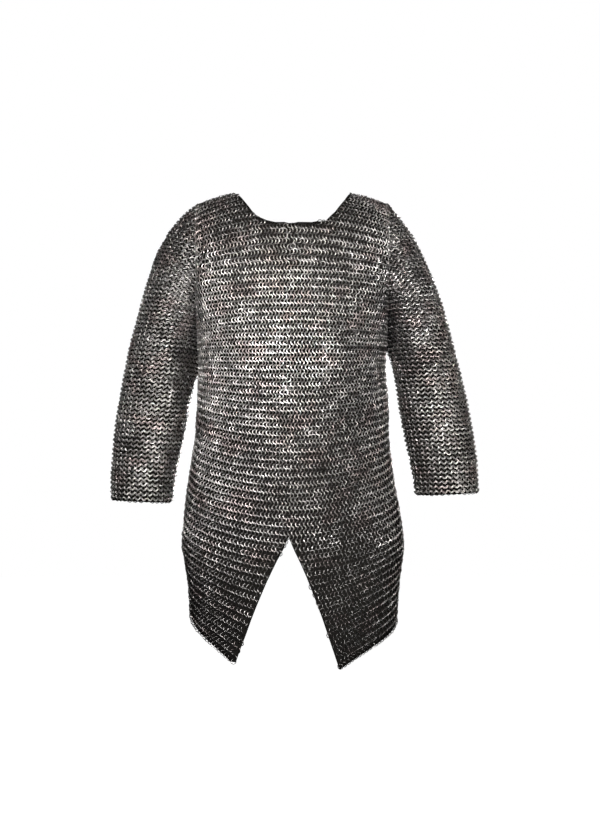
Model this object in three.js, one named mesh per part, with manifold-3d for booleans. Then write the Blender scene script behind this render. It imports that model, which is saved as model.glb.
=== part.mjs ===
// Chainmail hauberk, worn and hollow: a long-sleeved shirt of linked steel rings with a slit at the
// front and the back and a pointed hem. Millimetres, +Z up, the front towards -Y, left is -X.
// The origin is between the shoulders, at the height where the neck opening ends on them.
// Each panel is one wall, as thick as its linked rings lie, drawn from the middle of that thickness.
import * as THREE from 'three';
import Module from 'manifold-3d';
import { mergeVertices } from 'three/addons/utils/BufferGeometryUtils.js';

const WALL = 4.5;
const GAP = 0.3;            // clearance between two panels at a seam
const ARMHOLE_GAP = 0.7;    // the same at the armhole, measured sideways, because that seam is aslant
const SEAM_X = -7;          // the centre seam runs a little left of the middle
const SQUARENESS = 2.3;     // exponent of the torso's section, where 2 is an ellipse
const TURN_Z = -150;        // above this height the chest and the back curve over the shoulder
const RIDGE_Z = 8;          // top of the shoulder line, carried on over the neck opening
const RIDGE_FALL = 6.6e-5;  // fall of the shoulder line for each mm out, to the power below
const RIDGE_POWER = 2.5;

const COLUMNS = 10;         // cells across a body panel
const SLIT_ROWS = 9;        // cells from the hem's point up to the top of the slit
const BODY_ROWS = 11;       // cells from there up to the armpit
const ARMHOLE_ROWS = 12;    // cells from the armpit up to the shoulder ridge

// The torso at each height: how far each side is out, and how deep the front and the back are.
const TORSO = [
  { z: -930, left: 198, right: 201, front: 105, back: 100 },
  { z: -835, left: 198, right: 202, front: 108, back: 104 },
  { z: -764, left: 201, right: 205, front: 112, back: 108 },
  { z: -718, left: 208, right: 211, front: 115, back: 112 },
  { z: -685, left: 213, right: 215, front: 116, back: 114 },
  { z: -624, left: 208, right: 207, front: 115, back: 114 },
  { z: -560, left: 201, right: 196, front: 112, back: 109 },
  { z: -480, left: 188, right: 186, front: 109, back: 101 },
  { z: -413, left: 184, right: 184, front: 109, back: 97 },
  { z: -340, left: 180, right: 180, front: 112, back: 101 },
  { z: -250, left: 180, right: 180, front: 116, back: 111 },
  { z: -150, left: 180, right: 180, front: 113, back: 115 },
];

// Armhole: an egg that stands nearly upright, pinched at the armpit and widest at TURN_Z.
const ARMHOLE = { depth: 58, pitX: 181, topX: 186, pinch: 1.5 };

// Slit: an inverted V with a rounded top, opening to these widths on each side of the centre seam
// `drop` below its top.
const SLITS = {
  front: { top: -673, drop: 217, left: 96, right: 88 },
  back: { top: -664, drop: 217, left: 100, right: 93 },
};
const SLIT_ROUNDING = 0.8;
const HEM_BOW = 0.85;       // the hem rises to the side in a slight bow; at 1 it would be straight

// Each half of the body: heights of the armpit, the hem's corner at the side, and the hem's points.
const HALVES = {
  left: { out: -1, pit: -350, corner: -812, front: -909, back: -896 },
  right: { out: 1, pit: -304, corner: -829, front: -917, back: -902 },
};

// Neckline seen from the front, from the left shoulder to the right one.
const NECKLINES = {
  front: [[-109, 4], [-70, -49], [-45, -62], [0, -65], [62, -61], [76, -48], [98, -20], [112, 4]],
  back: [[-109, 4], [-74, -36], [-45, -46], [0, -48], [58, -46], [80, -34], [98, -16], [112, 4]],
};

// Sleeve sections from the armhole to the cuff: the inner and the outer end of each, its half
// depth, and how round it is (0 follows the armhole's egg, 1 is an ellipse).
const SLEEVES = {
  left: [
    { inner: [-187, -357], outer: [-210, -41], depth: 60, round: 0.12 },
    { inner: [-190, -364], outer: [-239, -75], depth: 62, round: 0.3 },
    { inner: [-192, -372], outer: [-265, -121], depth: 64, round: 0.5 },
    { inner: [-195, -382], outer: [-283, -178], depth: 65, round: 0.7 },
    { inner: [-198, -394], outer: [-300, -240], depth: 65, round: 0.85 },
    { inner: [-202, -411], outer: [-316, -298], depth: 64, round: 1 },
    { inner: [-205, -436], outer: [-329, -365], depth: 62, round: 1 },
    { inner: [-214, -477], outer: [-341, -432], depth: 59, round: 1 },
    { inner: [-224, -524], outer: [-348, -497], depth: 57, round: 1 },
    { inner: [-231, -562], outer: [-352, -548], depth: 55, round: 1 },
    { inner: [-236, -602], outer: [-352, -597], depth: 54, round: 1 },
  ],
  right: [
    { inner: [187, -311], outer: [208, -49], depth: 60, round: 0.12 },
    { inner: [190, -318], outer: [234, -86], depth: 62, round: 0.3 },
    { inner: [193, -327], outer: [255, -127], depth: 64, round: 0.5 },
    { inner: [196, -340], outer: [274, -172], depth: 65, round: 0.7 },
    { inner: [200, -357], outer: [291, -220], depth: 65, round: 0.85 },
    { inner: [205, -381], outer: [306, -275], depth: 64, round: 1 },
    { inner: [209, -415], outer: [322, -336], depth: 62, round: 1 },
    { inner: [217, -459], outer: [338, -402], depth: 59, round: 1 },
    { inner: [227, -505], outer: [350, -465], depth: 57, round: 1 },
    { inner: [236, -549], outer: [358, -525], depth: 55, round: 1 },
    { inner: [241, -588], outer: [361, -583], depth: 54, round: 1 },
  ],
};

const COLOURS = {
  front_left: 0x6b6562,
  front_right: 0x625d5a,
  back_left: 0x5c5755,
  back_right: 0x575350,
  sleeve_left: 0x69635f,
  sleeve_right: 0x655f5c,
};

// ---- curves and surfaces ----

// Value of a table's column at a height, on a smooth curve through its rows.
function lookUp(table, column, z) {
  const last = table.length - 1;
  const slope = (i) => {
    const a = table[Math.max(i - 1, 0)];
    const b = table[Math.min(i + 1, last)];
    return (b[column] - a[column]) / (b.z - a.z);
  };
  let i = 0;
  while (i < last - 1 && z > table[i + 1].z) i += 1;
  const step = table[i + 1].z - table[i].z;
  const u = THREE.MathUtils.clamp((z - table[i].z) / step, 0, 1);
  const u2 = u * u;
  const u3 = u2 * u;
  return table[i][column] * (2 * u3 - 3 * u2 + 1) + slope(i) * step * (u3 - 2 * u2 + u)
    + table[i + 1][column] * (3 * u2 - 2 * u3) + slope(i + 1) * step * (u3 - u2);
}

function ridgeHeight(x) {
  return RIDGE_Z - RIDGE_FALL * Math.abs(x) ** RIDGE_POWER;
}

// The armhole's edge at a level from 0, the armpit, to 1, the shoulder ridge; y is to be mirrored.
function armhole(side, level) {
  const { out, pit } = HALVES[side];
  const topZ = ridgeHeight(ARMHOLE.topX);
  const turn = (TURN_Z - pit) / (topZ - pit);
  const low = Math.min(level / turn, 1);
  const high = Math.max(level - turn, 0) / (1 - turn);
  const arc = high * Math.PI / 2;
  const z = level < turn ? pit + (TURN_Z - pit) * low : TURN_Z + (topZ - TURN_Z) * Math.sin(arc);
  const y = ARMHOLE.depth * Math.sin(low * Math.PI / 2) ** ARMHOLE.pinch * Math.cos(arc);
  const x = out * THREE.MathUtils.mapLinear(z, pit, topZ, ARMHOLE.pitX, ARMHOLE.topX);
  return { x, y, z, arc };
}

// Angles that divide a torso section of this width and depth into equal lengths.
function sectionAngle(part, width, depth) {
  const samples = 60;
  const at = (i) => {
    const angle = i / samples * Math.PI / 2;
    return [width * Math.sin(angle) ** (2 / SQUARENESS), depth * Math.cos(angle) ** (2 / SQUARENESS)];
  };
  const lengths = [0];
  for (let i = 1; i <= samples; i += 1) {
    const [x0, y0] = at(i - 1);
    const [x1, y1] = at(i);
    lengths.push(lengths[i - 1] + Math.hypot(x1 - x0, y1 - y0));
  }
  const target = THREE.MathUtils.clamp(part, 0, 1) * lengths[samples];
  let i = 1;
  while (i < samples && lengths[i] < target) i += 1;
  const rest = (target - lengths[i - 1]) / (lengths[i] - lengths[i - 1]);
  return (i - 1 + rest) / samples * Math.PI / 2;
}

// A point of the torso. `part` runs from 0 at the centre seam to 1 at the side or the armhole.
// `row` has z below the armpit, and above it the armhole's level.
function torsoPoint(side, face, part, row) {
  const facing = face === 'front' ? -1 : 1;
  const edge = row.level === undefined ? { x: HALVES[side].out * lookUp(TORSO, side, row.z), y: 0, z: row.z, arc: 0 }
    : armhole(side, row.level);
  const z = Math.min(edge.z, TURN_Z);
  const edgeDepth = edge.arc > 0 ? ARMHOLE.depth : edge.y;
  const width = Math.abs(edge.x - SEAM_X);
  const depth = lookUp(TORSO, face, z) - edgeDepth;
  const angle = sectionAngle(part, width, depth);
  const x = SEAM_X + Math.sign(edge.x) * width * Math.sin(angle) ** (2 / SQUARENESS);
  const out = edgeDepth + depth * Math.cos(angle) ** (2 / SQUARENESS);
  const rise = (ridgeHeight(x) - TURN_Z) * Math.sin(edge.arc);
  return new THREE.Vector3(x, facing * out * Math.cos(edge.arc), z + rise);
}

function slitWidth(side, face, z) {
  const slit = SLITS[face];
  return slit[side] * (Math.max(slit.top - z, 0) / slit.drop) ** SLIT_ROUNDING;
}

// Share of the section, from the centre seam, that the slit takes away at a height.
function slitPart(side, face, z) {
  const width = Math.abs(HALVES[side].out * lookUp(TORSO, side, z) - SEAM_X);
  const depth = lookUp(TORSO, face, z);
  let low = 0;
  let high = 1;
  for (let i = 0; i < 30; i += 1) {
    const middle = (low + high) / 2;
    const reach = width * Math.sin(sectionAngle(middle, width, depth)) ** (2 / SQUARENESS);
    if (reach < slitWidth(side, face, z)) low = middle;
    else high = middle;
  }
  return slitWidth(side, face, z) > 0 ? low : 0;
}

// A grid of middle points of one body panel: rows go up from the hem, columns out from the centre.
function bodyGrid(side, face) {
  const half = HALVES[side];
  const tip = half[face];
  const slitTop = SLITS[face].top;
  const rows = [];
  const addRow = (centreZ) => {
    const down = (half.pit - centreZ) / (half.pit - tip);
    const slope = (half.corner - tip) * down;
    rows.push({ centreZ, slope });
  };
  for (let i = 0; i < SLIT_ROWS; i += 1) addRow(slitTop + (tip - slitTop) * (1 - i / SLIT_ROWS) ** 1.5);
  for (let i = 0; i < BODY_ROWS; i += 1) addRow(slitTop + (half.pit - slitTop) * i / BODY_ROWS);
  for (let i = 0; i <= ARMHOLE_ROWS; i += 1) rows.push({ level: i / ARMHOLE_ROWS });
  return rows.map((row) => {
    const line = [];
    for (let c = 0; c <= COLUMNS; c += 1) {
      const share = c / COLUMNS;
      if (row.level !== undefined) {
        line.push({ part: share, row });
      } else {
        const start = slitPart(side, face, row.centreZ);
        line.push({ part: start + (1 - start) * share, row: { z: row.centreZ + row.slope * share ** HEM_BOW } });
      }
    }
    return line;
  });
}

function shiftRow(row, step) {
  if (row.level === undefined) return { z: row.z + step * 100 };
  return { level: THREE.MathUtils.clamp(row.level + step, 0, 1) };
}

// Outward direction of the torso's cloth at a point of its grid.
function torsoNormal(side, face, part, row) {
  const step = 0.01;
  const across = torsoPoint(side, face, Math.min(part + step, 1), row)
    .sub(torsoPoint(side, face, Math.max(part - step, 0), row));
  const up = torsoPoint(side, face, part, shiftRow(row, step))
    .sub(torsoPoint(side, face, part, shiftRow(row, -step)));
  const normal = across.cross(up).normalize();
  const flip = HALVES[side].out * (face === 'front' ? 1 : -1);
  return normal.multiplyScalar(flip);
}

// Sections of a sleeve, the armhole first.
function sleeveSections(side) {
  const pit = armhole(side, 0);
  const top = armhole(side, 1);
  const first = { inner: [pit.x, pit.z], outer: [top.x, top.z], depth: ARMHOLE.depth, round: 0 };
  return [first, ...SLEEVES[side]];
}

// A point of a sleeve: k counts sections down from the armhole, turn goes from -1 at the inner
// line, by the front, to 0 at the outer line, and by the back to 1 at the inner line again.
function sleevePoint(side, k, turn) {
  const sections = sleeveSections(side);
  const i = Math.min(Math.floor(k), sections.length - 2);
  const place = (section) => {
    const level = 1 - Math.abs(turn);
    const egg = armhole(side, level);
    const pit = armhole(side, 0);
    const top = armhole(side, 1);
    const eggAlong = (egg.z - pit.z) / (top.z - pit.z);
    const along = THREE.MathUtils.lerp(eggAlong, (1 - Math.cos(Math.PI * level)) / 2, section.round);
    const deep = THREE.MathUtils.lerp(egg.y / ARMHOLE.depth, Math.sin(Math.PI * level), section.round);
    const x = THREE.MathUtils.lerp(section.inner[0], section.outer[0], along);
    const z = THREE.MathUtils.lerp(section.inner[1], section.outer[1], along);
    return new THREE.Vector3(x, (turn < 0 ? -1 : 1) * section.depth * deep, z);
  };
  return place(sections[i]).lerp(place(sections[i + 1]), k - i);
}

function sleeveNormal(side, k, turn) {
  const last = SLEEVES[side].length;
  const wrap = (value) => (value > 1 ? value - 2 : value < -1 ? value + 2 : value);
  const step = 0.02;
  const around = sleevePoint(side, k, wrap(turn + step)).sub(sleevePoint(side, k, wrap(turn - step)));
  const down = sleevePoint(side, Math.min(k + 0.3, last), turn)
    .sub(sleevePoint(side, Math.max(k - 0.3, 0), turn));
  return around.cross(down).normalize().multiplyScalar(-HALVES[side].out);
}

// Half the wall, from its middle to its outer face, where a body panel and a sleeve meet.
function armholeOffset(side, face, level) {
  const facing = face === 'front' ? -1 : 1;
  const body = torsoNormal(side, face, 1, { level });
  const sleeve = sleeveNormal(side, 0, facing * (1 - level));
  if (level === 0 || level === 1) {
    body.y = 0;
    sleeve.y = 0;
  }
  return body.add(sleeve).normalize().multiplyScalar(WALL / 2);
}

// ---- walls ----

// A closed wall from a grid of middle points and half-thickness vectors; `ring` joins the last
// column to the first. The first edge's cells from column `turned` on are split the other way, so
// that a sleeve's edge has the same facets as the body's edges that it meets.
function wallFromGrid(middle, half, ring, flip, turned = Infinity) {
  const rows = middle.length;
  const columns = middle[0].length;
  const positions = [];
  for (const sign of [1, -1]) {
    for (let r = 0; r < rows; r += 1) {
      for (let c = 0; c < columns; c += 1) {
        positions.push(...middle[r][c].clone().addScaledVector(half[r][c], sign).toArray());
      }
    }
  }
  const at = (face, r, c) => face * rows * columns + r * columns + (c % columns);
  const index = [];
  const quad = (a, b, c, d) => {
    if (flip) index.push(a, c, b, a, d, c);
    else index.push(a, b, c, a, c, d);
  };
  const lastColumn = ring ? columns : columns - 1;
  for (let r = 0; r < rows - 1; r += 1) {
    for (let c = 0; c < lastColumn; c += 1) {
      quad(at(0, r, c), at(0, r, c + 1), at(0, r + 1, c + 1), at(0, r + 1, c));
      quad(at(1, r, c), at(1, r + 1, c), at(1, r + 1, c + 1), at(1, r, c + 1));
    }
  }
  for (let c = 0; c < lastColumn; c += 1) {
    if (c < turned) quad(at(0, 0, c), at(1, 0, c), at(1, 0, c + 1), at(0, 0, c + 1));
    else quad(at(1, 0, c), at(1, 0, c + 1), at(0, 0, c + 1), at(0, 0, c));
    quad(at(0, rows - 1, c), at(0, rows - 1, c + 1), at(1, rows - 1, c + 1), at(1, rows - 1, c));
  }
  if (!ring) {
    const end = columns - 1;
    for (let r = 0; r < rows - 1; r += 1) {
      quad(at(0, r, 0), at(0, r + 1, 0), at(1, r + 1, 0), at(1, r, 0));
      quad(at(0, r, end), at(1, r, end), at(1, r + 1, end), at(0, r + 1, end));
    }
  }
  const geometry = new THREE.BufferGeometry();
  geometry.setAttribute('position', new THREE.Float32BufferAttribute(positions, 3));
  geometry.setIndex(index);
  return geometry;
}

function bodyWall(side, face) {
  const facing = face === 'front' ? -1 : 1;
  const middle = [];
  const half = [];
  for (const line of bodyGrid(side, face)) {
    middle.push(line.map(({ part, row }) => torsoPoint(side, face, part, row)));
    half.push(line.map(({ part, row }) => {
      if (part === 1 && row.level !== undefined) return armholeOffset(side, face, row.level);
      const normal = torsoNormal(side, face, part, row);
      if (part === 0) normal.x = 0;
      if (part === 1 || row.level === 1) normal.y = 0;
      return normal.normalize().multiplyScalar(WALL / 2);
    }));
  }
  // Half a gap is kept at each seam: the centre, the side and the shoulder ridge.
  for (let r = 0; r < middle.length; r += 1) {
    for (let c = 0; c <= COLUMNS; c += 1) {
      const point = middle[r][c];
      if (Math.abs(point.x - SEAM_X) < GAP / 2) point.x = SEAM_X + HALVES[side].out * GAP / 2;
      if (Math.abs(point.y) < GAP / 2) point.y = facing * GAP / 2;
    }
  }
  return wallFromGrid(middle, half, false, (HALVES[side].out * facing) > 0);
}

function sleeveWall(side) {
  const last = SLEEVES[side].length;
  const middle = [];
  const half = [];
  for (let k = 0; k <= last; k += 1) {
    const points = [];
    const offsets = [];
    for (let c = 0; c < 2 * ARMHOLE_ROWS; c += 1) {
      const turn = c / ARMHOLE_ROWS - 1;
      const face = turn < 0 ? 'front' : 'back';
      points.push(sleevePoint(side, k, turn));
      if (k === 0) offsets.push(armholeOffset(side, face, 1 - Math.abs(turn)));
      else offsets.push(sleeveNormal(side, k, turn).multiplyScalar(WALL / 2));
    }
    middle.push(points);
    half.push(offsets);
  }
  // The sleeve starts a gap away from the body panels.
  for (const point of middle[0]) point.x += HALVES[side].out * ARMHOLE_GAP;
  return wallFromGrid(middle, half, true, HALVES[side].out > 0, ARMHOLE_ROWS);
}

// A flat outline seen from the front, drawn through from one depth to another.
function prism(outline, fromY, toY) {
  const shape = new THREE.Shape(outline.map(([x, z]) => new THREE.Vector2(x, z)));
  const geometry = new THREE.ExtrudeGeometry(shape, { depth: toY - fromY, bevelEnabled: false });
  return geometry.rotateX(Math.PI / 2).translate(0, toY, 0);
}

// ---- joining and cutting ----

const wasm = await Module();
wasm.setup();

function toSolid(geometry) {
  const bare = geometry.clone();
  bare.deleteAttribute('normal');
  bare.deleteAttribute('uv');
  const merged = mergeVertices(bare, 1e-4);
  return new wasm.Manifold(new wasm.Mesh({
    numProp: 3,
    vertProperties: new Float32Array(merged.attributes.position.array),
    triVerts: new Uint32Array(merged.index.array),
  }));
}

function toGeometry(solid) {
  const mesh = solid.getMesh();
  const geometry = new THREE.BufferGeometry();
  geometry.setAttribute('position', new THREE.BufferAttribute(new Float32Array(mesh.vertProperties), 3));
  geometry.setIndex(new THREE.BufferAttribute(new Uint32Array(mesh.triVerts), 1));
  return geometry;
}

// What the neck opening takes out of a face, from its neckline up past the shoulders.
function neckCutter(face) {
  const clear = 40;
  const outline = NECKLINES[face];
  const first = outline[0];
  const last = outline[outline.length - 1];
  const closed = [...outline, [last[0], clear], [first[0], clear]];
  return toSolid(face === 'front' ? prism(closed, -200, 1) : prism(closed, -1, 200));
}

const hauberk = new THREE.Group();

function addMesh(name, geometry) {
  const shaded = geometry.toNonIndexed();
  shaded.computeVertexNormals();
  const material = new THREE.MeshStandardMaterial({ color: COLOURS[name], roughness: 0.45, metalness: 0.9 });
  const mesh = new THREE.Mesh(shaded, material);
  mesh.name = name;
  hauberk.add(mesh);
}

for (const face of ['front', 'back']) {
  for (const side of ['left', 'right']) {
    const wall = toSolid(bodyWall(side, face));
    addMesh(`${face}_${side}`, toGeometry(wall.subtract(neckCutter(face))));
  }
}
for (const side of ['left', 'right']) addMesh(`sleeve_${side}`, sleeveWall(side));

export default hauberk;
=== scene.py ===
"""Chainmail hauberk: every steel ring of the mail is modelled, row overlapping row as linked mail
does, though no ring is threaded through another, on the form that the worn shirt takes. Sizes are
millimetres, as in the CAD source; MM turns them into metres."""
import math

import bpy
import numpy as np
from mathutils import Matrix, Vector


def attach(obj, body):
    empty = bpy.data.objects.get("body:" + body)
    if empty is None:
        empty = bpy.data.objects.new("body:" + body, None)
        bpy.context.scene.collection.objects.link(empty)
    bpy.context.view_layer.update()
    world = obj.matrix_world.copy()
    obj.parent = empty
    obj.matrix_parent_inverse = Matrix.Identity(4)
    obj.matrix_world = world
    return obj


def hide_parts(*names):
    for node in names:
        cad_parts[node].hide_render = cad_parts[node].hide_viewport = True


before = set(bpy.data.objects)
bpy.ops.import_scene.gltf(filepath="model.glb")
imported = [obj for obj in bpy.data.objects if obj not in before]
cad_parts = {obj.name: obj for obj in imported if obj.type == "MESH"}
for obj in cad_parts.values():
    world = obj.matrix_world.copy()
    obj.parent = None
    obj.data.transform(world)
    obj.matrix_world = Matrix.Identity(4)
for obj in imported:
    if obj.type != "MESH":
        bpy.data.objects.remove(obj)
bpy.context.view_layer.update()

MM = 0.001
SEAM_X = -7                 # the centre seam runs a little left of the middle
SQUARENESS = 2.3            # exponent of the torso's section, where 2 is an ellipse
TURN_Z = -150               # above this height the chest and the back curve over the shoulder
RIDGE_Z = 8
RIDGE_FALL = 6.6e-5
RIDGE_POWER = 2.5
SHOULDER_R = 120            # length that one radian of the shoulder's curve counts for in a row's v

# The torso at each height: how far each side is out, and how deep the front and the back are.
TORSO_COLUMNS = ("z", "left", "right", "front", "back")
TORSO = (
    (-930, 198, 201, 105, 100),
    (-835, 198, 202, 108, 104),
    (-764, 201, 205, 112, 108),
    (-718, 208, 211, 115, 112),
    (-685, 213, 215, 116, 114),
    (-624, 208, 207, 115, 114),
    (-560, 201, 196, 112, 109),
    (-480, 188, 186, 109, 101),
    (-413, 184, 184, 109, 97),
    (-340, 180, 180, 112, 101),
    (-250, 180, 180, 116, 111),
    (-150, 180, 180, 113, 115),
)

# Armhole: an egg that stands nearly upright, pinched at the armpit and widest at TURN_Z.
ARMHOLE_DEPTH = 58
ARMHOLE_PIT_X = 181
ARMHOLE_TOP_X = 186
ARMHOLE_PINCH = 1.5

# Slit: an inverted V, opening to these widths on each side of the centre seam, `drop` below its top.
SLITS = {
    "front": {"top": -673, "drop": 217, "left": 96, "right": 88},
    "back": {"top": -664, "drop": 217, "left": 100, "right": 93},
}
SLIT_ROUNDING = 0.8
HEM_BOW = 0.85

# Each half of the body: heights of the armpit, the hem's corner at the side, and the hem's points.
HALVES = {
    "left": {"out": -1, "pit": -350, "corner": -812, "front": -909, "back": -896},
    "right": {"out": 1, "pit": -304, "corner": -829, "front": -917, "back": -902},
}

# Neckline seen from the front, from the left shoulder to the right one.
NECKLINES = {
    "front": ((-109, 4), (-70, -49), (-45, -62), (0, -65), (62, -61), (76, -48), (98, -20), (112, 4)),
    "back": ((-109, 4), (-74, -36), (-45, -46), (0, -48), (58, -46), (80, -34), (98, -16), (112, 4)),
}

# Sleeve sections from the armhole to the cuff: inner end x and z, outer end x and z, half depth,
# and how round the section is (0 follows the armhole's egg, 1 is an ellipse).
SLEEVES = {
    "left": (
        (-187, -357, -210, -41, 60, 0.12),
        (-190, -364, -239, -75, 62, 0.3),
        (-192, -372, -265, -121, 64, 0.5),
        (-195, -382, -283, -178, 65, 0.7),
        (-198, -394, -300, -240, 65, 0.85),
        (-202, -411, -316, -298, 64, 1),
        (-205, -436, -329, -365, 62, 1),
        (-214, -477, -341, -432, 59, 1),
        (-224, -524, -348, -497, 57, 1),
        (-231, -562, -352, -548, 55, 1),
        (-236, -602, -352, -597, 54, 1),
    ),
    "right": (
        (187, -311, 208, -49, 60, 0.12),
        (190, -318, 234, -86, 62, 0.3),
        (193, -327, 255, -127, 64, 0.5),
        (196, -340, 274, -172, 65, 0.7),
        (200, -357, 291, -220, 65, 0.85),
        (205, -381, 306, -275, 64, 1),
        (209, -415, 322, -336, 62, 1),
        (217, -459, 338, -402, 59, 1),
        (227, -505, 350, -465, 57, 1),
        (236, -549, 358, -525, 55, 1),
        (241, -588, 361, -583, 54, 1),
    ),
}

# ---- the mail ----
RING_R = 5.2                # middle of the wire
WIRE_R = 0.95               # to a corner of the three-sided wire, whose mean width is 1.6
RING_SIDES = 7
WIRE_SIDES = 3
LEAN = math.radians(28)     # how far a ring leans along its row
ROW_STEP = 7.8              # between rows of the body
SHOULDER_ROWS = 23          # rows of a panel above TURN_Z
QUARTER_RINGS = 36          # rings of a row from the centre seam to the side seam
CHEST_PITCH = 6.6           # between rings of a row on the chest
# How far each row droops towards the middle, as a share of the hem's droop, by its height there.
DROOP_Z = (-930, -760, -720, -640, -560, -480, -400, -320, -250, -150)
DROOP_SHARE = (1.0, 0.87, 0.79, 0.69, 0.58, 0.45, 0.27, 0.02, -0.17, -0.17)
SLEEVE_STEP = 5.7           # between the rows that run down a sleeve
SLEEVE_PITCH = 9.4          # between rings of such a row at the cuff
SLEEVE_PITCH_TOP = 8.2      # the same at the shoulder
# Painted gap shade: a thin near-black skin inside the depth of the rings, put in the mail's gaps where there
# is only shade.
GAP_SHADE_OUT = -0.3              # its outer face, from the middle of the cloth
GAP_SHADE_IN = -0.9
GAP_SHADE_INSET = 0.8             # how far it keeps from the open edges
TILE_MARGIN = 0.06          # of a ring's tile on the UV map
GAP_SHADE_COLUMNS = 24
GAP_SHADE_ROWS = 56
GAP_SHADE_AROUND = 36
GAP_SHADE_SLEEVE_ROWS = 36

EDGE_INSET = 4.8            # of the last rings' centres from the open edges

# Painted light and shade in the steel's colour: a pool of light on the chest, darker sides, a darker right
# half, darker at the top and towards the hem; by height at the middle of the shirt, and SIDE_X out to its
# left and right.
PAINTED_LIGHT_COLUMNS = ("z", "left", "middle", "right")
SIDE_X = 130
PAINTED_LIGHT = (
    (-930, 0.24, 0.26, 0.28),
    (-800, 0.26, 0.30, 0.30),
    (-735, 0.36, 0.48, 0.38),
    (-670, 0.52, 0.78, 0.48),
    (-560, 0.60, 0.85, 0.44),
    (-430, 0.66, 1.10, 0.46),
    (-300, 0.84, 2.15, 0.62),
    (-200, 0.90, 1.40, 0.72),
    (-110, 0.85, 0.98, 0.75),
    (0, 0.60, 0.70, 0.66),
)
# painted light: the right sleeve is made brighter than the left
SLEEVE_PAINTED_LIGHT = {"left": 1.0, "right": 1.15}

rng = np.random.default_rng(1438)


# ---- the form, as in the CAD source ----

def look_up(column, z):
    """The torso table's value at heights z, on a smooth curve through its rows."""
    rows = np.array(TORSO, float)
    zs = rows[:, 0]
    values = rows[:, TORSO_COLUMNS.index(column)]
    before = np.maximum(np.arange(len(zs)) - 1, 0)
    after = np.minimum(np.arange(len(zs)) + 1, len(zs) - 1)
    slopes = (values[after] - values[before]) / (zs[after] - zs[before])
    i = np.clip(np.searchsorted(zs, z) - 1, 0, len(zs) - 2)
    step = zs[i + 1] - zs[i]
    u = np.clip((z - zs[i]) / step, 0, 1)
    return (values[i] * (2 * u**3 - 3 * u**2 + 1) + slopes[i] * step * (u**3 - 2 * u**2 + u)
            + values[i + 1] * (3 * u**2 - 2 * u**3) + slopes[i + 1] * step * (u**3 - u**2))


def ridge_height(x):
    return RIDGE_Z - RIDGE_FALL * np.abs(x) ** RIDGE_POWER


def shoulder_arc(v):
    return np.clip((v - TURN_Z) / SHOULDER_R, 0, math.pi / 2)


def armhole(side, v):
    """x, half depth and z of the armhole's edge at v: a height, or past TURN_Z an arc's length."""
    half = HALVES[side]
    top_z = ridge_height(ARMHOLE_TOP_X)
    low = np.clip((v - half["pit"]) / (TURN_Z - half["pit"]), 0, 1)
    arc = shoulder_arc(v)
    z = np.minimum(v, TURN_Z) + (top_z - TURN_Z) * np.sin(arc)
    y = ARMHOLE_DEPTH * np.sin(low * math.pi / 2) ** ARMHOLE_PINCH * np.cos(arc)
    share = (z - half["pit"]) / (top_z - half["pit"])
    x = half["out"] * (ARMHOLE_PIT_X + (ARMHOLE_TOP_X - ARMHOLE_PIT_X) * share)
    return x, y, z


def section_angles():
    """Angles that divide torso sections into equal lengths: a row for each depth to width ratio."""
    ratios = np.linspace(0.05, 1.2, 47)
    angles = np.linspace(0, math.pi / 2, 241)
    parts = np.linspace(0, 1, 121)
    across = np.sin(angles) ** (2 / SQUARENESS)
    deep = np.clip(np.cos(angles), 0, 1) ** (2 / SQUARENESS)
    rows = []
    for ratio in ratios:
        lengths = np.hypot(np.diff(across), ratio * np.diff(deep))
        reached = np.concatenate(([0], np.cumsum(lengths)))
        rows.append(np.interp(parts * reached[-1], reached, angles))
    return ratios, parts, np.array(rows)


RATIOS, PARTS, ANGLES = section_angles()


def section_angle(part, ratio):
    a = np.clip((ratio - RATIOS[0]) / (RATIOS[1] - RATIOS[0]), 0, len(RATIOS) - 1.001)
    b = np.clip(part, 0, 1) * (len(PARTS) - 1.001)
    ia = a.astype(int)
    ib = b.astype(int)
    fa = a - ia
    fb = b - ib
    low = ANGLES[ia, ib] * (1 - fb) + ANGLES[ia, ib + 1] * fb
    high = ANGLES[ia + 1, ib] * (1 - fb) + ANGLES[ia + 1, ib + 1] * fb
    return low * (1 - fa) + high * fa


def torso_point(side, face, part, v):
    """Points of the torso's cloth: part is 0 at the centre seam and 1 at the side or armhole."""
    part, v = np.broadcast_arrays(np.asarray(part, float), np.asarray(v, float))
    facing = -1 if face == "front" else 1
    out = HALVES[side]["out"]
    edge_x, edge_y, _ = armhole(side, v)
    z = np.minimum(v, TURN_Z)
    below = v < HALVES[side]["pit"]
    edge_x = np.where(below, out * look_up(side, z), edge_x)
    arc = shoulder_arc(v)
    edge_depth = np.where(below, 0, np.where(arc > 0, ARMHOLE_DEPTH, edge_y))
    width = np.abs(edge_x - SEAM_X)
    depth = look_up(face, z) - edge_depth
    angle = section_angle(part, depth / width)
    x = SEAM_X + out * width * np.sin(angle) ** (2 / SQUARENESS)
    y = edge_depth + depth * np.clip(np.cos(angle), 0, 1) ** (2 / SQUARENESS)
    rise = (ridge_height(x) - TURN_Z) * np.sin(arc)
    return np.stack([x, facing * y * np.cos(arc), z + rise], -1)


def slit_width(side, face, z):
    slit = SLITS[face]
    return slit[side] * (np.maximum(slit["top"] - z, 0) / slit["drop"]) ** SLIT_ROUNDING


def sleeve_sections(side):
    pit_x, _, pit_z = armhole(side, HALVES[side]["pit"])
    top_x, _, top_z = armhole(side, TURN_Z + SHOULDER_R * math.pi / 2)
    first = (pit_x, pit_z, top_x, top_z, ARMHOLE_DEPTH, 0)
    return np.array([first, *SLEEVES[side]], float)


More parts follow.
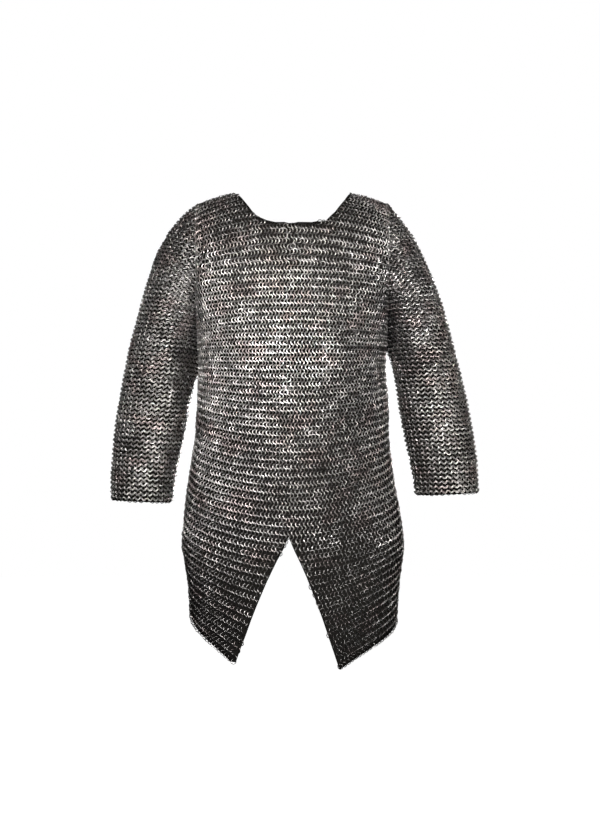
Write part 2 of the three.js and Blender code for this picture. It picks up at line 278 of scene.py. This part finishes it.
def sleeve_line(side, turn):
    """Points of the sleeve along lines at turn, from -1 at the inner line, by the front, to 0 at
    the outer line, and by the back to 1: one point for each section."""
    level = 1 - np.abs(turn)
    pit_z = HALVES[side]["pit"]
    top_z = ridge_height(ARMHOLE_TOP_X)
    turn_level = (TURN_Z - pit_z) / (top_z - pit_z)
    low = np.minimum(level / turn_level, 1)
    arc = np.maximum(level - turn_level, 0) / (1 - turn_level) * math.pi / 2
    egg_z = pit_z + (TURN_Z - pit_z) * low + (top_z - TURN_Z) * np.sin(arc)
    egg_y = np.sin(low * math.pi / 2) ** ARMHOLE_PINCH * np.cos(arc)
    egg_along = (egg_z - pit_z) / (top_z - pit_z)
    inner_x, inner_z, outer_x, outer_z, depth, rounded = sleeve_sections(side).T[:, :, None]
    along = egg_along + ((1 - np.cos(math.pi * level)) / 2 - egg_along) * rounded
    deep = egg_y + (np.sin(math.pi * level) - egg_y) * rounded
    facing = np.where(turn < 0, -1, 1)
    x = inner_x + (outer_x - inner_x) * along
    z = inner_z + (outer_z - inner_z) * along
    return np.stack([x, facing * depth * deep, z], -1)


# ---- linking the rings ----

def unit(vectors):
    return vectors / np.maximum(np.linalg.norm(vectors, axis=-1, keepdims=True), 1e-9)


def droop_share(z):
    return np.interp(z, DROOP_Z, DROOP_SHARE)


def body_rings(side, face):
    """Places, row directions, outward directions and lean signs of a body panel's rings."""
    half = HALVES[side]
    hem_droop = half["corner"] - half[face]
    grid = np.linspace(0, 1, 61)
    centre = [TURN_Z + SHOULDER_R * math.pi / 2 * (1 - (k + 0.5) / SHOULDER_ROWS)
              for k in range(SHOULDER_ROWS)]
    rows_below = int((TURN_Z - half[face]) / ROW_STEP)
    fall = TURN_Z - half[face] - EDGE_INSET + ROW_STEP / 2
    centre += [TURN_Z - (k + 0.5) * fall / rows_below for k in range(rows_below)]

    def row_length(v):
        line = torso_point(side, face, grid[None, :], v[:, None])
        return np.linalg.norm(np.diff(line, axis=1), axis=-1).sum(1)

    levels = np.linspace(-930, TURN_Z + SHOULDER_R * math.pi / 2, 241)
    lengths = row_length(levels)
    pit_pitch = np.interp(half["pit"], levels, lengths) / QUARTER_RINGS
    above = np.clip((levels - half["pit"]) / 80, 0, 1)
    pitches = np.where(levels < half["pit"], lengths / QUARTER_RINGS,
                       pit_pitch + (CHEST_PITCH - pit_pitch) * above)
    places = []
    for k, middle in enumerate(centre):
        parity = (k + (side == "right") + (face == "back")) % 2
        steps = np.arange(QUARTER_RINGS + 2) + 0.25 + 0.5 * parity
        slit_start = slit_part(side, face, middle)
        bend = np.interp(middle, (half[face], -560), (HEM_BOW, 2.0))
        part = steps / QUARTER_RINGS
        for _ in range(4):
            share = np.clip((part - slit_start) / (1 - slit_start), 0, 1)
            v = middle + hem_droop * droop_share(middle) * share**bend
            part = steps * np.interp(v, levels, pitches) / np.interp(v, levels, lengths)
        sign = 1 if k % 2 else -1
        for s, p, height in zip(steps, part, v):
            places.append((s, p, height, sign, k))
    steps, part, v, sign, row = np.array(places).T
    points = torso_point(side, face, part, v)
    edge = 0.35 / QUARTER_RINGS
    keep = (part > 0) & (part <= 1) & ((part < 1 - edge * 0.5) | (v < half["pit"]))
    reach = np.abs(points[:, 0] - SEAM_X)
    ragged = np.where(row % 2 == 0, -1.7, 1.7)          # every other row stands out at the slit
    keep &= reach > slit_width(side, face, points[:, 2] - 2) + np.where(points[:, 2] < SLITS[face]["top"] + 4,
                                                                       EDGE_INSET - 2.2 + ragged, -1)
    outline = np.array(NECKLINES[face], float)
    neck_z = np.min([np.interp(points[:, 0] + shift, outline[:, 0], outline[:, 1], left=99, right=99)
                     for shift in (-EDGE_INSET, 0, EDGE_INSET)], axis=0)
    keep &= (points[:, 2] < neck_z - EDGE_INSET * 0.6) | (v < -200)
    part, v, sign, row, points = part[keep], v[keep], sign[keep], row[keep], points[keep]
    d = 0.004
    across = unit(torso_point(side, face, part + d, v) - torso_point(side, face, part - d, v))
    up = unit(torso_point(side, face, part, v + 1) - torso_point(side, face, part, v - 1))
    out = unit(np.cross(across, up)) * half["out"] * (1 if face == "front" else -1)
    loop = half["out"] * (1 if face == "front" else -1)
    return points, across * loop, out, sign, part, row


def slit_part(side, face, z, inset=0):
    """Share of a row, from the centre seam, that the slit takes away."""
    parts = np.linspace(0, 1, 241)
    reach = np.abs(torso_point(side, face, parts, z)[:, 0] - SEAM_X)
    wanted = float(slit_width(side, face, np.array(float(z)))) + inset
    return float(np.interp(wanted, reach, parts)) if wanted > 0 else 0.0


def sleeve_rings(side):
    """The same for a sleeve, whose rows run down the arm."""
    half = HALVES[side]
    turns = np.linspace(-1, 1, 401)
    lines = sleeve_line(side, turns)
    samples = 160
    k = np.linspace(0, len(lines) - 1, samples)
    low = np.minimum(k.astype(int), len(lines) - 2)
    rest = (k - low)[:, None, None]
    dense = lines[low] * (1 - rest) + lines[low + 1] * rest
    from_cuff = dense[::-1]
    reached = np.concatenate((np.zeros((1, len(turns))),
                              np.cumsum(np.linalg.norm(np.diff(from_cuff, axis=0), axis=-1), axis=0)))
    longest = reached[-1].max()
    levels = []
    s = EDGE_INSET - 0.3
    while s < longest:
        pitch = SLEEVE_PITCH + (SLEEVE_PITCH_TOP - SLEEVE_PITCH) * s / longest
        levels.append(s)
        s += pitch / 2
    outer = len(turns) // 2
    rings = []
    for i, s in enumerate(levels):
        curve = np.stack([[np.interp(s, reached[:, c], from_cuff[:, c, axis]) for axis in range(3)]
                          for c in range(len(turns))])
        alive = reached[-1] >= s
        step = np.linalg.norm(np.diff(curve, axis=0), axis=-1)
        girth = np.concatenate(([0], np.cumsum(step)))
        girth -= girth[outer]
        first, last = np.flatnonzero(alive)[[0, -1]]
        low_j = math.ceil(girth[first] / SLEEVE_STEP)
        high_j = math.floor(girth[last] / SLEEVE_STEP)
        for j in range(low_j, high_j + 1):
            if (j + i) % 2:
                continue
            g = j * SLEEVE_STEP
            c = int(np.clip(np.searchsorted(girth, g), 1, len(turns) - 1))
            f = (g - girth[c - 1]) / max(girth[c] - girth[c - 1], 1e-6)
            if not (alive[c] and alive[c - 1]):
                continue
            point = curve[c - 1] * (1 - f) + curve[c] * f
            ahead = int(np.clip(c, 2, len(turns) - 3))
            around = curve[ahead + 2] - curve[ahead - 2]
            s_more = min(s + 4, reached[-1, c])
            s_less = max(s_more - 8, 0)
            along = np.array([np.interp(s_more, reached[:, c], from_cuff[:, c, a])
                              - np.interp(s_less, reached[:, c], from_cuff[:, c, a]) for a in range(3)])
            rings.append((*point, *along, *around, 1 if j % 2 else -1, s / longest))
    rings = np.array(rings)
    along = unit(rings[:, 3:6])
    out = unit(np.cross(rings[:, 6:9], along)) * half["out"]
    return rings[:, :3], along, out, rings[:, 9], rings[:, 10], None


def ring_template():
    """One ring in its own plane, and its quads."""
    a = np.arange(RING_SIDES) * 2 * math.pi / RING_SIDES
    b = np.arange(WIRE_SIDES) * 2 * math.pi / WIRE_SIDES
    radius = RING_R + WIRE_R * np.cos(b)[None, :]
    x = radius * np.cos(a)[:, None]
    y = radius * np.sin(a)[:, None]
    z = np.broadcast_to(WIRE_R * np.sin(b)[None, :], x.shape)
    corner = np.arange(RING_SIDES * WIRE_SIDES).reshape(RING_SIDES, WIRE_SIDES)
    next_a = np.roll(corner, -1, 0)
    next_b = np.roll(corner, -1, 1)
    both = np.roll(next_a, -1, 1)
    quads = np.stack([corner, next_a, both, next_b], -1).reshape(-1, 4)
    return np.stack([x, y, z], -1).reshape(-1, 3), quads


def waves(points, size, seed):
    """A smooth random field, about -1 to 1, with patches of this size."""
    own = np.random.default_rng(seed)
    count = 8
    turns = unit(own.normal(size=(count, 3))) * (2 * math.pi / size) * own.uniform(0.6, 1.5, (count, 1))
    phases = own.uniform(0, 2 * math.pi, count)
    return np.sin(points @ turns.T + phases).sum(1) / math.sqrt(count)


def smooth_step(value, low, high):
    share = np.clip((value - low) / (high - low), 0, 1)
    return share * share * (3 - 2 * share)


def near(value, middle, reach):
    """1 at the middle, falling to 0 at this reach from it."""
    return 1 - smooth_step(np.abs(value - middle), 0, reach)


def body_painted_light(points, face):
    """Painted light and shade on each ring of a body panel: how bright it is, and how much it breaks out of
    its row.
    """
    x, z = points[:, 0], points[:, 2]
    rows = np.array(PAINTED_LIGHT, float)
    left, middle, right = (np.interp(z, rows[:, 0], rows[:, PAINTED_LIGHT_COLUMNS.index(place)])
                           for place in ("left", "middle", "right"))
    side = np.where(x < SEAM_X, left, right)
    painted_light_and_tone = middle + (side - middle) * smooth_step(np.abs(x - SEAM_X), 15, SIDE_X)
    seam = near(x, SEAM_X - 1, 9) * (z < -60)
    armhole = near(np.abs(x), 178 + (z + 100) * 0.25, 20) * near(z, -135, 60)
    loose = np.maximum(0.7 * seam, armhole) + near(x, SEAM_X + 8, 14) * near(z, -100, 30)
    painted_light_and_tone = painted_light_and_tone * (1 + 0.35 * loose)
    # painted shade: a dark line across the front at the waist
    if face == "front":
        gaps = near(z, -534, 7) * smooth_step(x, -16, -8) * (1 - smooth_step(x, 60, 68))
        painted_light_and_tone = painted_light_and_tone * (1 - 0.75 * gaps)
    # painted shade in the crease beside each armhole
    crease = smooth_step(np.abs(x), 168, 179) * near(z, -235, 130)
    return painted_light_and_tone * (1 - 0.7 * crease), loose


def sleeve_painted_light(points, out, side):
    """The same painted light and shade for a sleeve: its inner side is painted dark, most of all beside the
    chest.
    """
    sign = HALVES[side]["out"]
    x, z = points[:, 0] * sign, points[:, 2]
    # painted shade on the side of the sleeve that faces the body
    facing = smooth_step(out[:, 0] * sign, -0.95, -0.15)
    painted_light_and_tone = SLEEVE_PAINTED_LIGHT[side] * (0.4 + 0.6 * facing)
    # painted shade towards the top of the shoulder
    painted_light_and_tone = painted_light_and_tone * (0.62 + 0.38 * smooth_step(-z, 60, 210))
    reach = 14 if side == "left" else 24
    # painted shade in the crease beside the chest
    crease = (1 - smooth_step(x, 186, 186 + reach)) * near(z, -240, 140)
    # painted light and shade in bands along the folds
    folds = np.sin((z + 0.35 * x) / 11) * near(z, -405, 40) * near(x, 258, 45)
    loose = near(x, 205, 18) * near(z, -105, 55)
    return painted_light_and_tone * (1 - 0.75 * crease) * (1 + 0.3 * folds) * (1 + 0.3 * loose), loose


def mail_mesh(name, points, along, out, sign, painted_light_and_tone, loose):
    """Joins a ring at each point; each leans along its row, one way or the other by its sign."""
    count = len(points)
    lean = LEAN + np.radians(7 * waves(points, 55, 5) + rng.normal(0, 5, count) * (1 + 2 * loose))
    nod = np.radians(rng.normal(0, 7, count) * (1 + 2 * loose))
    spin = rng.uniform(0, 2 * math.pi / RING_SIDES, count)
    along = unit(along - out * (along * out).sum(-1, keepdims=True))
    up = np.cross(out, along)
    normal = out * np.cos(lean)[:, None] + along * (sign * np.sin(lean))[:, None]
    normal = unit(normal + up * np.sin(nod)[:, None])
    first = unit(np.cross(up, normal))
    second = np.cross(normal, first)
    a = first * np.cos(spin)[:, None] + second * np.sin(spin)[:, None]
    b = np.cross(normal, a)
    points = points + rng.normal(0, 0.3, points.shape) * (1 + 1.5 * loose)[:, None]
    template, quads = ring_template()
    vertices = (points[:, None, :] + template[None, :, 0:1] * a[:, None, :]
                + template[None, :, 1:2] * b[:, None, :] + template[None, :, 2:3] * normal[:, None, :])
    faces = (quads[None] + (np.arange(count) * len(template))[:, None, None]).reshape(-1, 4)
    piece = mesh_piece(name, vertices.reshape(-1, 3), faces)
    height = ((vertices - points[:, None, :]) * out[:, None, :]).sum(-1)
    depth_shade = 0.22 + 0.78 * smooth_step(height, -1.5, 2.6)      # painted shade: the parts of each ring that lie deep in the mail are darkened
    patches = np.exp(0.13 * waves(points, 70, 7) + 0.13 * waves(points, 24, 8))
    own = np.exp(rng.normal(0, 0.3, count))
    # painted light and shade, times random tone in patches and per ring, and the painted depth shade
    write_values(piece, "painted_light_and_tone", painted_light_and_tone[:, None] * patches[:, None] * own[:, None] * depth_shade)
    brown = smooth_step(waves(points, 60, 9) + rng.normal(0, 0.35, count), 0.1, 1.2)
    write_values(piece, "brown", np.repeat(brown[:, None], len(template), 1))
    lay_out_rings(piece, count)
    return piece


def write_values(piece, name, values):
    layer = piece.data.attributes.new(name, "FLOAT", "POINT")
    layer.data.foreach_set("value", values.ravel().astype(np.float32))


def lay_out_rings(piece, count):
    """UV map: a square tile for each ring, with the way round the ring across it."""
    tiles = math.ceil(math.sqrt(count))
    ring = np.arange(count)
    corner = np.stack([ring % tiles, ring // tiles], -1)[:, None, None, :]
    i, j = np.divmod(np.arange(RING_SIDES * WIRE_SIDES), WIRE_SIDES)
    u = (i[:, None] + np.array((0, 1, 1, 0))) / RING_SIDES
    v = (j[:, None] + np.array((0, 0, 1, 1))) / WIRE_SIDES
    inside = np.stack([u, v], -1) * (1 - 2 * TILE_MARGIN) + TILE_MARGIN
    places = (corner + inside[None]) / tiles
    layer = piece.data.uv_layers.new(name="OFBake")
    layer.uv.foreach_set("vector", places.ravel().astype(np.float32))


def mesh_piece(name, vertices, faces):
    """A mesh object from points in millimetres and quads."""
    mesh = bpy.data.meshes.new(name)
    vertices = (vertices * MM).astype(np.float32)
    mesh.vertices.add(len(vertices))
    mesh.vertices.foreach_set("co", vertices.ravel())
    mesh.loops.add(faces.size)
    mesh.loops.foreach_set("vertex_index", faces.ravel().astype(np.int32))
    mesh.polygons.add(len(faces))
    mesh.polygons.foreach_set("loop_start", np.arange(len(faces), dtype=np.int32) * 4)
    mesh.polygons.foreach_set("use_smooth", np.ones(len(faces), bool))
    mesh.update(calc_edges=True)
    mesh.validate()
    piece = bpy.data.objects.new(name, mesh)
    bpy.context.collection.objects.link(piece)
    return piece


def shell(name, middle, out, ring, flip):
    """A thin closed skin from a grid of points and outward directions, open or joined around."""
    rows, columns = middle.shape[:2]
    outer = (middle + out * GAP_SHADE_OUT).reshape(-1, 3)
    inner = (middle + out * GAP_SHADE_IN).reshape(-1, 3)
    index = np.arange(rows * columns).reshape(rows, columns)
    if ring:
        index = np.concatenate((index, index[:, :1]), axis=1)
    a, b = index[:-1, :-1].ravel(), index[:-1, 1:].ravel()
    c, d = index[1:, 1:].ravel(), index[1:, :-1].ravel()
    more = rows * columns
    faces = [np.stack([a, b, c, d], -1), np.stack([a, d, c, b], -1) + more]
    edges = [(index[0, 1:], index[0, :-1]), (index[-1, :-1], index[-1, 1:])]
    if not ring:
        edges += [(index[:-1, 0], index[1:, 0]), (index[1:, -1], index[:-1, -1])]
    for first, second in edges:
        faces.append(np.stack([first, second, second + more, first + more], -1))
    faces = np.concatenate(faces)
    if flip:
        faces = faces[:, ::-1]
    return mesh_piece(name, np.concatenate((outer, inner)), faces)


# the painted shade skin behind a body panel's rings
def body_gap_shade(side, face):
    half = HALVES[side]
    parts = np.linspace(0, 1, GAP_SHADE_COLUMNS + 1)
    heights = np.linspace(-930, TURN_Z + SHOULDER_R * math.pi / 2, 500)
    outline = np.array(NECKLINES[face], float)
    tip = half[face] + GAP_SHADE_INSET
    tip_part = slit_part(side, face, tip, GAP_SHADE_INSET)
    middle = []
    for part in parts:
        line = torso_point(side, face, part, heights)
        neck = np.interp(line[:, 0], outline[:, 0], outline[:, 1], left=99, right=99) - GAP_SHADE_INSET - 2
        above = np.flatnonzero((line[:, 2] > neck) & (heights > -200))
        top = heights[above[0]] if len(above) else heights[-1]
        if part < tip_part:
            reach = np.abs(line[:, 0] - SEAM_X)
            cut = reach < slit_width(side, face, heights) + GAP_SHADE_INSET
            low = heights[np.flatnonzero(cut & (heights < SLITS[face]["top"] + 12))[-1]] if cut.any() else tip
        else:
            share = (part - tip_part) / (1 - tip_part)
            low = tip + (half["corner"] - half[face]) * share**HEM_BOW
        v = np.linspace(low, top, GAP_SHADE_ROWS + 1)
        middle.append(torso_point(side, face, part, v))
    middle = np.stack(middle, 1)
    out = grid_normals(middle) * half["out"] * (1 if face == "front" else -1)
    return shell(f"web_{face}_{side}", middle, out, False, half["out"] * (1 if face == "front" else -1) < 0)


def grid_normals(middle):
    across = np.gradient(middle, axis=1)
    up = np.gradient(middle, axis=0)
    return unit(np.cross(across, up))


# the painted shade skin behind a sleeve's rings
def sleeve_gap_shade(side):
    turns = np.linspace(-1, 1, GAP_SHADE_AROUND, endpoint=False)
    lines = sleeve_line(side, turns)
    end = len(lines) - 1 - 0.03
    k = np.linspace(0, end, GAP_SHADE_SLEEVE_ROWS + 1)
    low = np.minimum(k.astype(int), len(lines) - 2)
    rest = (k - low)[:, None, None]
    middle = lines[low] * (1 - rest) + lines[low + 1] * rest
    wrapped = np.concatenate((middle[:, -1:], middle, middle[:, :1]), axis=1)
    out = -grid_normals(wrapped)[:, 1:-1] * HALVES[side]["out"]
    return shell(f"web_sleeve_{side}", middle, out, True, HALVES[side]["out"] > 0)


STEEL_COLOUR = (0.50, 0.475, 0.46, 1)
BROWN_COLOUR = (0.47, 0.40, 0.385, 1)
STEEL_ROUGHNESS = 0.3


def steel():
    """Bright wire, browned in patches, its colour scaled by each ring's painted light and shade and its
    random tone.
    """
    material = bpy.data.materials.new("mail_steel")
    material.use_nodes = True
    tree = material.node_tree
    shader = tree.nodes["Principled BSDF"]
    shader.inputs["Metallic"].default_value = 1.0
    shader.inputs["Roughness"].default_value = STEEL_ROUGHNESS
    brown = tree.nodes.new("ShaderNodeAttribute")
    brown.attribute_name = "brown"
    # painted light and shade, with random tone, scales the steel's colour
    painted_light_and_tone = tree.nodes.new("ShaderNodeAttribute")
    painted_light_and_tone.attribute_name = "painted_light_and_tone"
    mix = tree.nodes.new("ShaderNodeMix")
    mix.data_type = "RGBA"
    mix.inputs[6].default_value = STEEL_COLOUR
    mix.inputs[7].default_value = BROWN_COLOUR
    scale = tree.nodes.new("ShaderNodeVectorMath")
    scale.operation = "SCALE"
    tree.links.new(brown.outputs["Fac"], mix.inputs[0])
    tree.links.new(mix.outputs[2], scale.inputs[0])
    tree.links.new(painted_light_and_tone.outputs["Fac"], scale.inputs["Scale"])
    tree.links.new(scale.outputs["Vector"], shader.inputs["Base Color"])
    return material


# painted shade: a near-black matte skin in the mail's gaps, where there is only shade
def painted_gap_shade():
    material = bpy.data.materials.new("painted_gap_shade")
    material.use_nodes = True
    shader = material.node_tree.nodes["Principled BSDF"]
    shader.inputs["Base Color"].default_value = (0.006, 0.0055, 0.005, 1)
    shader.inputs["Roughness"].default_value = 0.95
    shader.inputs["Specular IOR Level"].default_value = 0.0
    return material


def make_mail():
    material = steel()
    dark = painted_gap_shade()
    for face in ("front", "back"):
        for side in ("left", "right"):
            points, along, out, sign, _, _ = body_rings(side, face)
            painted_light_and_tone, loose = body_painted_light(points, face)
            piece = mail_mesh(f"mail_{face}_{side}", points, along, out, sign, painted_light_and_tone, loose)
            dress(f"{face}_{side}", piece, material, body_gap_shade(side, face), dark)
    for side in ("left", "right"):
        points, along, out, sign, _, _ = sleeve_rings(side)
        painted_light_and_tone, loose = sleeve_painted_light(points, out, side)
        piece = mail_mesh(f"mail_sleeve_{side}", points, along, out, sign, painted_light_and_tone, loose)
        dress(f"sleeve_{side}", piece, material, sleeve_gap_shade(side), dark)


def dress(node, rings, steel_look, gap_shade, gap_shade_look):
    """Puts a panel's rings, and the dark skin of painted shade in their gaps, in place of its solid."""
    for piece, look in ((rings, steel_look), (gap_shade, gap_shade_look)):
        piece.data.materials.append(look)
        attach(piece, "root")
        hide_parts(node)


# ---- camera, stage and lights ----

VIEW_DISTANCE = 3.5
FRAME_HEIGHT = 1.638        # of the view at the shirt's middle plane
VIEW_X = 0.0146
VIEW_Z = -0.441
STUDIO_GREY = 0.06          # how bright the room is that the steel mirrors, where white is 1


def make_camera():
    data = bpy.data.cameras.new("camera")
    data.sensor_fit = "VERTICAL"
    data.sensor_height = 36
    data.lens = 36 * VIEW_DISTANCE / FRAME_HEIGHT
    camera = bpy.data.objects.new("camera", data)
    camera.location = (VIEW_X, -VIEW_DISTANCE, VIEW_Z)
    camera.rotation_euler = (math.pi / 2, 0, 0)
    bpy.context.collection.objects.link(camera)
    bpy.context.scene.camera = camera


def area_light(name, place, target, size, power, colour=(1, 1, 1)):
    data = bpy.data.lights.new(name, "AREA")
    data.size = size
    data.energy = power
    data.color = colour
    light = bpy.data.objects.new(name, data)
    light.location = place
    light.rotation_euler = (Vector(target) - Vector(place)).to_track_quat("-Z", "Y").to_euler()
    bpy.context.collection.objects.link(light)


def make_stage():
    """A white floor far below the shirt, and white all round for the camera alone: the studio
    that the steel mirrors is a dim one."""
    reach = 8
    floor_z = -1.45
    corners = [(x * reach, y * reach, floor_z) for x, y in ((-1, -1), (1, -1), (1, 1), (-1, 1))]
    mesh = bpy.data.meshes.new("floor")
    mesh.from_pydata(corners, [], [(0, 1, 2, 3)])
    floor = bpy.data.objects.new("floor", mesh)
    material = bpy.data.materials.new("floor")
    material.use_nodes = True
    shader = material.node_tree.nodes["Principled BSDF"]
    shader.inputs["Base Color"].default_value = (0.8, 0.8, 0.8, 1)
    shader.inputs["Emission Color"].default_value = (1, 1, 1, 1)
    shader.inputs["Emission Strength"].default_value = 0.95
    mesh.materials.append(material)
    bpy.context.collection.objects.link(floor)
    floor.visible_glossy = False
    floor.visible_diffuse = False
    world = bpy.data.worlds.new("world")
    bpy.context.scene.world = world
    world.use_nodes = True
    tree = world.node_tree
    background = tree.nodes["Background"]
    background.inputs["Color"].default_value = (1, 1, 1, 1)
    path = tree.nodes.new("ShaderNodeLightPath")
    strength = tree.nodes.new("ShaderNodeMapRange")
    strength.inputs["To Min"].default_value = STUDIO_GREY
    strength.inputs["To Max"].default_value = 1.0
    tree.links.new(path.outputs["Is Camera Ray"], strength.inputs["Value"])
    tree.links.new(strength.outputs["Result"], background.inputs["Strength"])
    bpy.context.scene.view_settings.view_transform = "Standard"


def make_lights():
    area_light("key", (-0.6, -2.4, 0.3), (0, 0, -0.25), 0.4, 105)
    area_light("fill", (0.75, -2.3, 0.1), (0, 0, -0.3), 0.4, 85)
    area_light("back", (0.5, 2.4, -0.3), (0, 0, -0.35), 0.5, 110)


make_camera()
make_stage()
make_lights()
make_mail()
